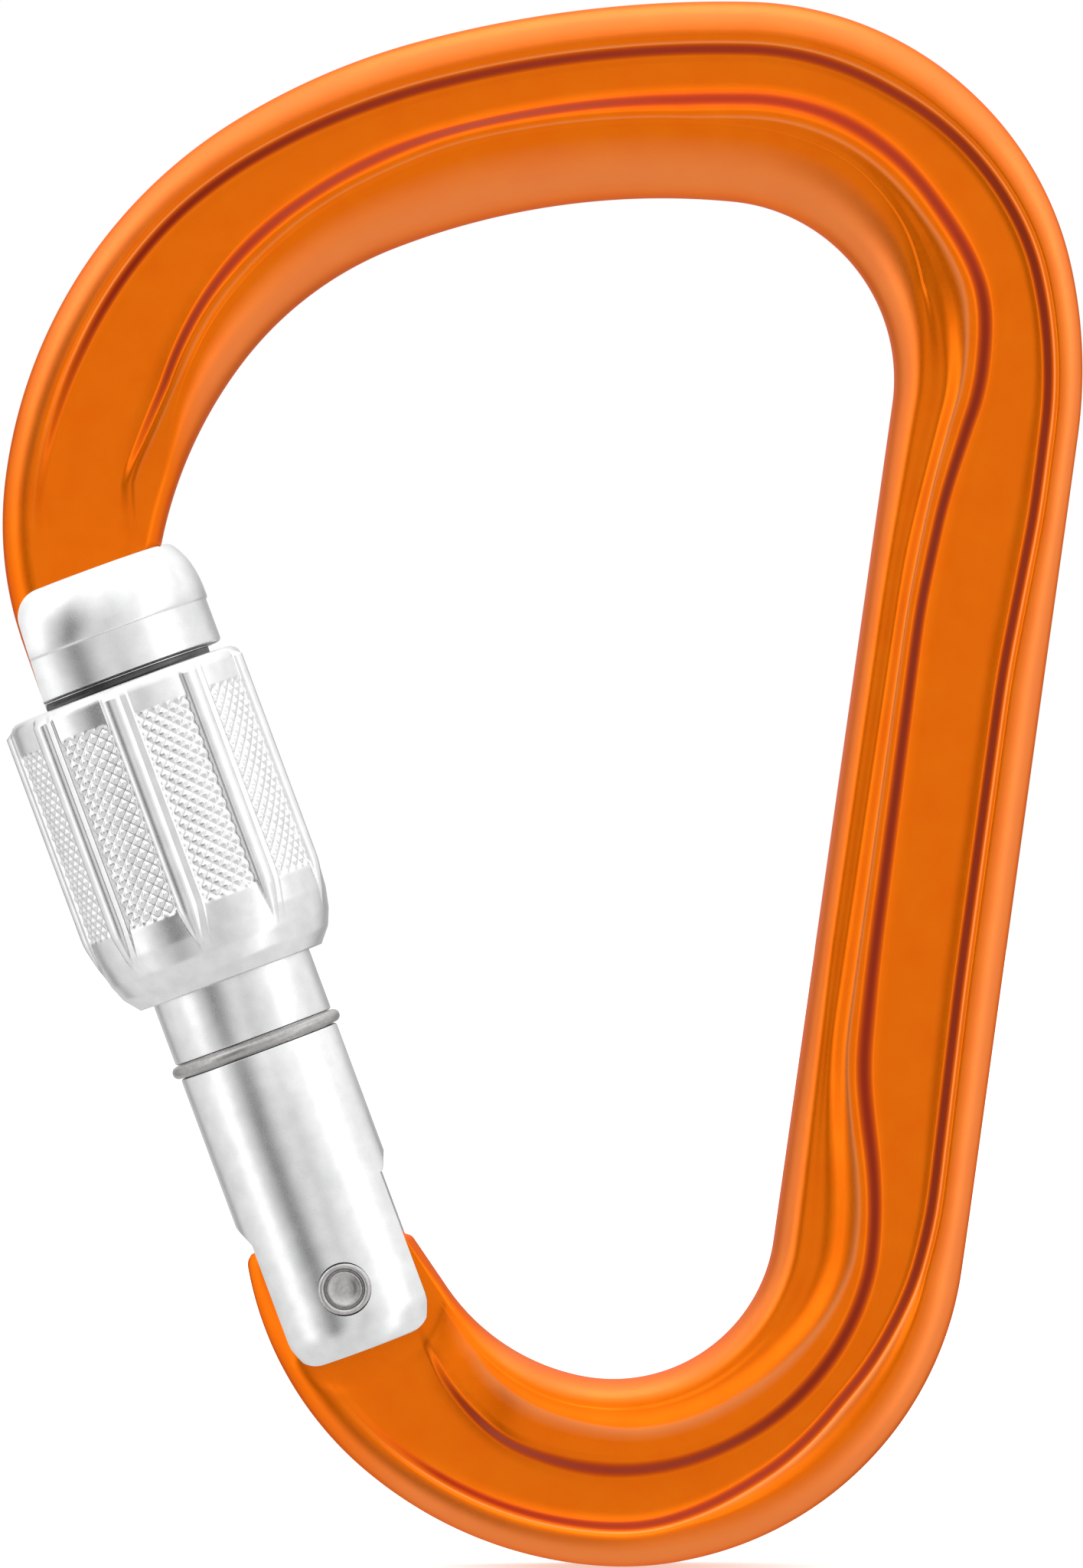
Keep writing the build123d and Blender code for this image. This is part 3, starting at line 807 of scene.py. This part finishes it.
def cheek_outline():
    """The cutter for the cap's flat cheek, with the rounded corner at its top."""
    corner = (CHEEK_TOP + CHEEK_CORNER, CAP_TOP - CHEEK_CORNER)
    above = CAP_TOP + 2
    return [
        (-CUT_SIDE, CHEEK_LOW), (CHEEK_FOOT, CHEEK_LOW), (CHEEK_FOOT, CAP_FOOT),
        *arc(corner, CHEEK_CORNER, 180, 90), (corner[0], above), (-CUT_SIDE, above)]


def rivet_hole(radius, low, high, steps):
    """A round cutter on the rivet's axis."""
    return prism(arc((0, 0), radius, 0, HOLE_END, steps), low, high)


def gate_cutters():
    """Everything that is taken away from the turned gate."""
    low = SLOT_FLOOR - 1
    overlap = CAP_SLOT_OVERLAP
    return [
        prism(slot_outline(), -SLOT_HALF, SLOT_HALF),
        fork_corner(1),
        fork_corner(-1),
        lathe([(0, low), (BORE, low), (BORE, BORE_END), (0, BORE_END)], BORE_COLUMNS),
        prism(cheek_outline(), -CUT_DEPTH, CUT_DEPTH),
        rivet_hole(RIVET_RADIUS, -CUT_DEPTH, CUT_DEPTH, 48),
        rivet_hole(RIVET_HEAD_RADIUS, -CUT_DEPTH, -RIVET_SEAT, 60),
        rivet_hole(RIVET_HEAD_RADIUS, RIVET_SEAT, CUT_DEPTH, 60),
        nose_slot(NOSE_END_RADIUS - overlap, WAIST_LOW + overlap, SLOT_HALF),
        nose_slot(WAIST_LOW, WAIST_HIGH, WAIST_HALF + WAIST_GAP),
        nose_slot(WAIST_HIGH - overlap, CAP_SLOT_TOP, SLOT_HALF)]


def make_gate():
    """The barrel with its fork and its keylock cap, turned and then cut."""
    mesh = carved(lathe(GATE_PROFILE, GATE_COLUMNS), gate_cutters())
    mesh.polygons.foreach_set("use_smooth", [True] * len(mesh.polygons))
    mesh.set_sharp_from_angle(angle=math.radians(SHARP_ANGLE))
    mesh.name = "barrel"
    piece = bpy.data.objects.new("barrel", mesh)
    bpy.context.scene.collection.objects.link(piece)
    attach(piece, "gate")
    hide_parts("gate")
    mesh.materials.clear()
    mesh.materials.append(FINISHES["gate_metal"])
    return piece


def make_rivet():
    """The hinge pin with a raised lip round a shallow dish at each end."""
    angle = np.linspace(0, 2 * math.pi, RIVET_COLUMNS, endpoint=False)
    near = [(radius, -depth) for radius, depth in RIVET_HEAD]
    rings = near + list(RIVET_HEAD[::-1])
    points = [
        (RIVET_X + radius * math.cos(a), depth, RIVET_Z + radius * math.sin(a))
        for radius, depth in rings for a in angle]
    faces = loop_faces(len(rings), RIVET_COLUMNS)
    faces.append(tuple(range(RIVET_COLUMNS))[::-1])
    last = (len(rings) - 1) * RIVET_COLUMNS
    faces.append(tuple(last + j for j in range(RIVET_COLUMNS)))
    return make_piece("hinge_pin", np.array(points) * MM, faces, "gate", "rivet_steel", "hinge_rivet")


def make_spring():
    """The gate's spring, a coil from the plunger's head to the bore's end."""
    count = SPRING_TURNS * SPRING_STEPS
    share = np.linspace(0, 1, count + 1)[:, None]
    turn = np.linspace(0, 2 * math.pi, WIRE_SIDES, endpoint=False)[None]
    low, high = SPRING_LOW + WIRE_RADIUS, SPRING_HIGH - WIRE_RADIUS
    height = low + (high - low) * share + WIRE_RADIUS * np.sin(turn)
    radius = SPRING_RADIUS + WIRE_RADIUS * np.cos(turn)
    points = gate_points(share * SPRING_TURNS * 2 * math.pi, radius, height)
    faces = loop_faces(count + 1, WIRE_SIDES)
    last = count * WIRE_SIDES
    faces += [tuple(range(WIRE_SIDES))[::-1], tuple(range(last, last + WIRE_SIDES))]
    piece = make_piece("gate_coil", points.reshape(-1, 3), faces, "gate", "spring_steel", "gate_spring")
    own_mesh(piece)
    return piece


def facing(angle):
    """How squarely an angle faces the neck's flat, from 1 down to almost nothing."""
    return np.maximum(-np.sin(angle), 0.01)


def thread_core(angle):
    """Two rings inside the neck that close the thread's mesh, kept inside the neck's flat."""
    upper = np.minimum(THREAD_ROOT - CORE_DROP, (NECK_FLAT - CORE_DROP) / facing(angle))
    lower = np.minimum(THREAD_ROOT - CORE_DROP, THREAD_ROOT / facing(angle))
    return np.array([upper, lower])


def make_thread():
    """The screw thread on the barrel, which shows when the sleeve is run down."""
    rows = round((THREAD_HIGH - THREAD_LOW) / THREAD_ROW)
    heights = np.linspace(THREAD_LOW, THREAD_HIGH, rows)
    angle = np.linspace(0, 2 * math.pi, THREAD_COLUMNS, endpoint=False)
    turns = heights[:, None] / THREAD_PITCH - angle[None] / (2 * math.pi)
    fade = ramp(heights, THREAD_LOW, THREAD_LOW + THREAD_FADES[0])
    fade = fade * (1 - ramp(heights, THREAD_HIGH - THREAD_FADES[1], THREAD_HIGH))
    crest = np.clip(CREST_GAIN * triangle(turns) - ROOT_SHARE, 0, 1)
    radius = THREAD_ROOT + THREAD_DEPTH * crest * fade[:, None]
    flat = NECK_FLAT / facing(angle[None])
    radius = np.where(heights[:, None] > CHEEK_LOW, np.minimum(radius, flat), radius)
    outside = gate_points(angle[None], radius, heights[:, None])
    ends = np.array([[THREAD_HIGH], [THREAD_LOW]])
    points = np.concatenate([outside, gate_points(angle[None], thread_core(angle), ends)])
    faces = closed_faces(len(points), THREAD_COLUMNS)
    piece = make_piece("barrel_thread", points.reshape(-1, 3), faces, "gate", "gate_metal")
    # The thread is coloured near black: painted shade that stands for the shadow in the gap between the
    # cap and the sleeve.
    piece.data.materials[0] = turned_finish(
        "thread_painted_shade", (0.10, 0.10, 0.105), (0.16, 0.16, 0.16), 0.3, 0.42, 5.0)
    return piece


# Noise mostly lies between these levels, so colours and roughness are spread over that stretch.
NOISE_LEVELS = (0.3, 0.7)


class Finish:
    """A node material whose shader is a Principled BSDF with procedural detail."""

    def __init__(self, name):
        self.material = bpy.data.materials.new(name)
        self.material.use_nodes = True
        self.tree = self.material.node_tree
        self.shader = self.tree.nodes["Principled BSDF"]

    def node(self, kind, **values):
        """A new node with its settings, or failing that its sockets, set by name."""
        made = self.tree.nodes.new(kind)
        for key, value in values.items():
            if hasattr(made, key):
                setattr(made, key, value)
            else:
                made.inputs[key.replace("_", " ")].default_value = value
        return made

    def link(self, source, output, target, entry):
        self.tree.links.new(source.outputs[output], target.inputs[entry])

    def set(self, **values):
        for key, value in values.items():
            self.shader.inputs[key.replace("_", " ")].default_value = value

    def place(self, along_gate=False):
        """Surface coordinates in millimetres, in the frame or along the gate's axis."""
        coordinates = self.node("ShaderNodeTexCoord")
        mapping = self.node("ShaderNodeMapping")
        mapping.inputs["Scale"].default_value = (1 / MM,) * 3
        if along_gate:
            mapping.inputs["Rotation"].default_value = (0, math.radians(GATE_LEAN), 0)
        self.link(coordinates, "Object", mapping, "Vector")
        return mapping

    def noise(self, place, scale, detail=3.0, roughness=0.5):
        made = self.node("ShaderNodeTexNoise", Scale=scale, Detail=detail, Roughness=roughness)
        self.link(place, "Vector", made, "Vector")
        return made

    def ranged(self, source, output, low, high):
        made = self.node("ShaderNodeMapRange")
        made.inputs["From Min"].default_value = NOISE_LEVELS[0]
        made.inputs["From Max"].default_value = NOISE_LEVELS[1]
        made.inputs["To Min"].default_value = low
        made.inputs["To Max"].default_value = high
        self.link(source, output, made, "Value")
        return made

    def tint(self, source, output, low, high):
        made = self.node("ShaderNodeValToRGB")
        made.color_ramp.elements[0].position = NOISE_LEVELS[0]
        made.color_ramp.elements[1].position = NOISE_LEVELS[1]
        made.color_ramp.elements[0].color = (*low, 1)
        made.color_ramp.elements[1].color = (*high, 1)
        self.link(source, output, made, "Fac")
        self.link(made, "Color", self.shader, "Base Color")

    def paint_light_by(self, attribute, painted_shade_colour, painted_highlight_colour):
        """Blends the base colour toward a painted shade colour or a painted highlight colour by a mesh
        attribute.
        """
        level = self.node("ShaderNodeAttribute", attribute_name=attribute)
        base = self.shader.inputs["Base Color"].links[0].from_socket
        for sign, colour in ((-1, painted_shade_colour), (1, painted_highlight_colour)):
            amount = self.node("ShaderNodeMath", operation="MULTIPLY", use_clamp=True)
            amount.inputs[1].default_value = sign
            self.link(level, "Fac", amount, 0)
            blend = self.node("ShaderNodeMix", data_type="RGBA")
            blend.inputs["B"].default_value = (*colour, 1)
            self.tree.links.new(amount.outputs[0], blend.inputs["Factor"])
            self.tree.links.new(base, blend.inputs["A"])
            base = blend.outputs["Result"]
        self.tree.links.new(base, self.shader.inputs["Base Color"])

    def bump(self, source, output, distance, strength=1.0, under=None):
        made = self.node("ShaderNodeBump", Strength=strength, Distance=distance)
        self.link(source, output, made, "Height")
        if under:
            self.link(under, "Normal", made, "Normal")
        self.link(made, "Normal", self.shader, "Normal")
        return made


def anodised_finish():
    """Satin anodised aluminium, with painted shade on the groove walls and painted highlights on crests
    and edges.
    """
    finish = Finish("anodised_bar")
    place = finish.place()
    broad = finish.noise(place, 0.35, 4.0)
    grain = finish.noise(place, 9.0, 5.0, 0.6)
    finish.tint(broad, "Fac", (0.98, 0.172, 0.001), (1.0, 0.196, 0.002))
    # Deep red painted shade for the groove walls, pale pink painted highlight for the crests and edges.
    finish.paint_light_by("painted_light", (0.36, 0.022, 0.002), (1.0, 0.46, 0.20))
    rough = finish.ranged(grain, "Fac", 0.33, 0.43)
    finish.link(rough, "Result", finish.shader, "Roughness")
    low = finish.bump(broad, "Fac", 0.03 * MM)
    finish.bump(grain, "Fac", 0.004 * MM, 1.0, low)
    finish.set(Metallic=1.0, Coat_Weight=0.08, Coat_Roughness=0.2, Coat_IOR=1.5)
    finish.set(Specular_Tint=(1.0, 0.5, 0.38, 1))
    return finish.material


def turned_finish(name, dark, light, smooth, rough, lines):
    """Lathe-turned metal: fine rings about the gate's axis and a soft cloudy sheen."""
    finish = Finish(name)
    place = finish.place(along_gate=True)
    rings = finish.node(
        "ShaderNodeTexWave", bands_direction="Z", Scale=lines, Distortion=0.3, Detail=2.0)
    finish.link(place, "Vector", rings, "Vector")
    cloud = finish.noise(place, 0.8, 4.0)
    grain = finish.noise(place, 14.0, 3.0, 0.6)
    finish.tint(cloud, "Fac", dark, light)
    sheen = finish.ranged(grain, "Fac", smooth, rough)
    finish.link(sheen, "Result", finish.shader, "Roughness")
    low = finish.bump(rings, "Fac", 0.0006 * MM)
    finish.bump(grain, "Fac", 0.0012 * MM, 1.0, low)
    finish.set(Metallic=1.0)
    return finish.material


def wire_finish(name, dark, light, rough):
    """Drawn or headed steel: streaky colour and fine scratches."""
    finish = Finish(name)
    place = finish.place()
    streak = finish.noise(place, 3.0, 6.0, 0.7)
    fine = finish.noise(place, 22.0, 3.0)
    finish.tint(streak, "Fac", dark, light)
    sheen = finish.ranged(fine, "Fac", rough - 0.06, rough + 0.08)
    finish.link(sheen, "Result", finish.shader, "Roughness")
    finish.bump(streak, "Fac", 0.004 * MM)
    finish.set(Metallic=1.0)
    return finish.material


def rubber_finish():
    """Matt black rubber with a fine grain."""
    finish = Finish("black_rubber")
    place = finish.place()
    grain = finish.noise(place, 12.0, 4.0)
    finish.tint(grain, "Fac", (0.012, 0.012, 0.012), (0.03, 0.03, 0.03))
    sheen = finish.ranged(grain, "Fac", 0.5, 0.7)
    finish.link(sheen, "Result", finish.shader, "Roughness")
    finish.bump(grain, "Fac", 0.01 * MM)
    return finish.material


FINISHES = {
    "anodised_bar": anodised_finish(),
    "gate_metal": turned_finish(
        "gate_metal", (0.80, 0.805, 0.81), (0.90, 0.90, 0.90), 0.25, 0.34, 5.0),
    "sleeve_metal": turned_finish(
        "sleeve_metal", (0.79, 0.79, 0.79), (0.89, 0.89, 0.885), 0.23, 0.33, 4.0),
    "rivet_steel": wire_finish("rivet_steel", (0.42, 0.41, 0.40), (0.60, 0.59, 0.58), 0.26),
    "spring_steel": wire_finish("spring_steel", (0.38, 0.37, 0.36), (0.52, 0.51, 0.50), 0.32),
    "black_rubber": rubber_finish(),
}
CAD_SLOTS = {
    "sleeve_stop_ring": "spring_steel",
    "spring_plunger": "rivet_steel",
    "friction_ring": "black_rubber",
}


def dress_cad_nodes():
    """Gives the CAD nodes that stay as they are their finishes."""
    for node, slot in CAD_SLOTS.items():
        mesh = frame["nodes"][node].data
        if not mesh.materials:
            mesh.materials.append(FINISHES[slot])
        for index in range(len(mesh.materials)):
            mesh.materials[index] = FINISHES[slot]


# Studio: the floor, a pale world with darker gaps for the metal to reflect, lamps and camera.
FLOOR_GAP = 0.0002
FLOOR_SIZE = 6.0
CAMERA_DISTANCE = 0.8
VIEW_HEIGHT = 114.4
SENSOR = 36.0
FLOOR_GLOW = 0.45
LAMPS = (
    ("lamp_left", (-0.7, -0.35, 0.35), 0.35, 0.5),
    ("lamp_right", (0.75, -0.3, 0.3), 0.35, 0.5),
    ("lamp_top", (0.0, 0.2, 0.9), 1.0, 0.7),
)

# The world's light by compass angle, its light by height, and the share that the light by height
# has at each height; the rest is the light by compass angle.
COMPASS_LIGHT = (
    (-180, 0.66), (-156, 0.75), (-145, 0.15), (-134, 0.75), (-85, 0.95), (-74, 1.5), (-64, 1.5),
    (-57, 0.75), (-45, 0.7), (-34, 0.12), (-25, 0.12), (-16, 0.62), (-5, 0.86), (5, 0.86), (12, 0.55),
    (22, 0.8), (34, 0.9), (48, 0.95), (56, 1.5), (64, 1.5), (72, 0.9), (130, 0.85), (150, 0.35),
    (180, 0.66))
HEIGHT_LIGHT = ((-1, 0.8), (-0.3, 0.85), (0.3, 1.15), (0.8, 1.3), (1, 1.2))
HEIGHT_COVER = ((-1, 1), (-0.75, 1), (-0.4, 0), (0.12, 0), (0.4, 0.7), (0.7, 1), (1, 1))


def make_floor():
    """A plain pale floor just under the object."""
    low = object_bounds()[0][2] - FLOOR_GAP
    half = FLOOR_SIZE / 2
    corners = [(-half, -half, low), (half, -half, low), (half, half, low), (-half, half, low)]
    mesh = bpy.data.meshes.new("floor")
    mesh.from_pydata(corners, [], [(0, 1, 2, 3)])
    floor = bpy.data.objects.new("floor", mesh)
    bpy.context.scene.collection.objects.link(floor)
    floor.visible_glossy = False
    finish = Finish("floor")
    place = finish.place()
    cloud = finish.noise(place, 0.01, 3.0)
    finish.tint(cloud, "Fac", (0.86, 0.86, 0.86), (0.88, 0.88, 0.88))
    finish.set(Roughness=0.9, Specular_IOR_Level=0.1)
    finish.set(Emission_Color=(1, 1, 1, 1), Emission_Strength=FLOOR_GLOW)
    mesh.materials.append(finish.material)
    floor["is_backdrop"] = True


def graded(tree, stops, source):
    """A grey ramp through (place, level) stops, driven by a source that runs from 0 to 1."""
    made = tree.nodes.new("ShaderNodeValToRGB")
    low, high = stops[0][0], stops[-1][0]
    elements = made.color_ramp.elements
    elements[0].color = (stops[0][1],) * 3 + (1,)
    elements[-1].color = (stops[-1][1],) * 3 + (1,)
    for place, level in stops[1:-1]:
        elements.new((place - low) / (high - low)).color = (level, level, level, 1)
    tree.links.new(source.outputs[0], made.inputs["Fac"])
    return made


def compass(tree, split):
    """The angle round the object, from 0 to 1, with the camera's side in the middle."""
    flip = tree.nodes.new("ShaderNodeMath")
    flip.operation = "MULTIPLY"
    flip.inputs[1].default_value = -1
    tree.links.new(split.outputs["Y"], flip.inputs[0])
    angle = tree.nodes.new("ShaderNodeMath")
    angle.operation = "ARCTAN2"
    tree.links.new(split.outputs["X"], angle.inputs[0])
    tree.links.new(flip.outputs[0], angle.inputs[1])
    share = tree.nodes.new("ShaderNodeMapRange")
    share.inputs["From Min"].default_value = -math.pi
    share.inputs["From Max"].default_value = math.pi
    tree.links.new(angle.outputs[0], share.inputs["Value"])
    return share


def surround(tree):
    """The graded light that falls on the object and shows in its reflections."""
    coordinates = tree.nodes.new("ShaderNodeTexCoord")
    split = tree.nodes.new("ShaderNodeSeparateXYZ")
    tree.links.new(coordinates.outputs["Generated"], split.inputs[0])
    height = tree.nodes.new("ShaderNodeMapRange")
    height.inputs["From Min"].default_value = -1
    tree.links.new(split.outputs["Z"], height.inputs["Value"])
    round_light = graded(tree, COMPASS_LIGHT, compass(tree, split))
    height_light = graded(tree, HEIGHT_LIGHT, height)
    cover = graded(tree, HEIGHT_COVER, height)
    blend = tree.nodes.new("ShaderNodeMix")
    blend.data_type = "RGBA"
    tree.links.new(cover.outputs["Color"], blend.inputs["Factor"])
    tree.links.new(round_light.outputs["Color"], blend.inputs["A"])
    tree.links.new(height_light.outputs["Color"], blend.inputs["B"])
    shade = tree.nodes.new("ShaderNodeBackground")
    tree.links.new(blend.outputs["Result"], shade.inputs["Color"])
    return shade


def make_world():
    """A plain white backdrop; all other light is graded, with a few darker upright gaps."""
    world = bpy.data.worlds.new("studio")
    bpy.context.scene.world = world
    world.use_nodes = True
    tree = world.node_tree
    tree.nodes.clear()
    plain = tree.nodes.new("ShaderNodeBackground")
    plain.inputs["Color"].default_value = (1, 1, 1, 1)
    path = tree.nodes.new("ShaderNodeLightPath")
    mix = tree.nodes.new("ShaderNodeMixShader")
    out = tree.nodes.new("ShaderNodeOutputWorld")
    tree.links.new(path.outputs["Is Camera Ray"], mix.inputs["Fac"])
    tree.links.new(surround(tree).outputs[0], mix.inputs[1])
    tree.links.new(plain.outputs[0], mix.inputs[2])
    tree.links.new(mix.outputs[0], out.inputs["Surface"])


def make_lamp(name, place, power, size):
    """A soft square lamp aimed at the object's middle."""
    data = bpy.data.lights.new(name, "AREA")
    data.energy = power
    data.size = size
    lamp = bpy.data.objects.new(name, data)
    lamp.location = place
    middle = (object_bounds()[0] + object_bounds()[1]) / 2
    lamp.rotation_euler = (middle - lamp.location).to_track_quat("-Z", "Y").to_euler()
    bpy.context.scene.collection.objects.link(lamp)


def make_camera():
    """A long-lens camera straight in front, at the photo's viewing angle."""
    low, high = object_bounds()
    middle = (low + high) / 2
    data = bpy.data.cameras.new("camera")
    data.sensor_fit = "VERTICAL"
    data.sensor_height = SENSOR
    data.lens = SENSOR * CAMERA_DISTANCE / (VIEW_HEIGHT * MM)
    data.clip_start = 0.01
    camera = bpy.data.objects.new("camera", data)
    camera.location = (middle[0], middle[1] - CAMERA_DISTANCE, middle[2])
    camera.rotation_euler = (math.radians(90), 0, 0)
    bpy.context.scene.collection.objects.link(camera)
    bpy.context.scene.camera = camera


make_camera()
make_world()
make_floor()
for lamp in LAMPS:
    make_lamp(*lamp)
make_bar()
make_sleeve()
make_gate()
make_rivet()
make_spring()
make_thread()
dress_cad_nodes()
bpy.context.scene.view_settings.view_transform = "Standard"
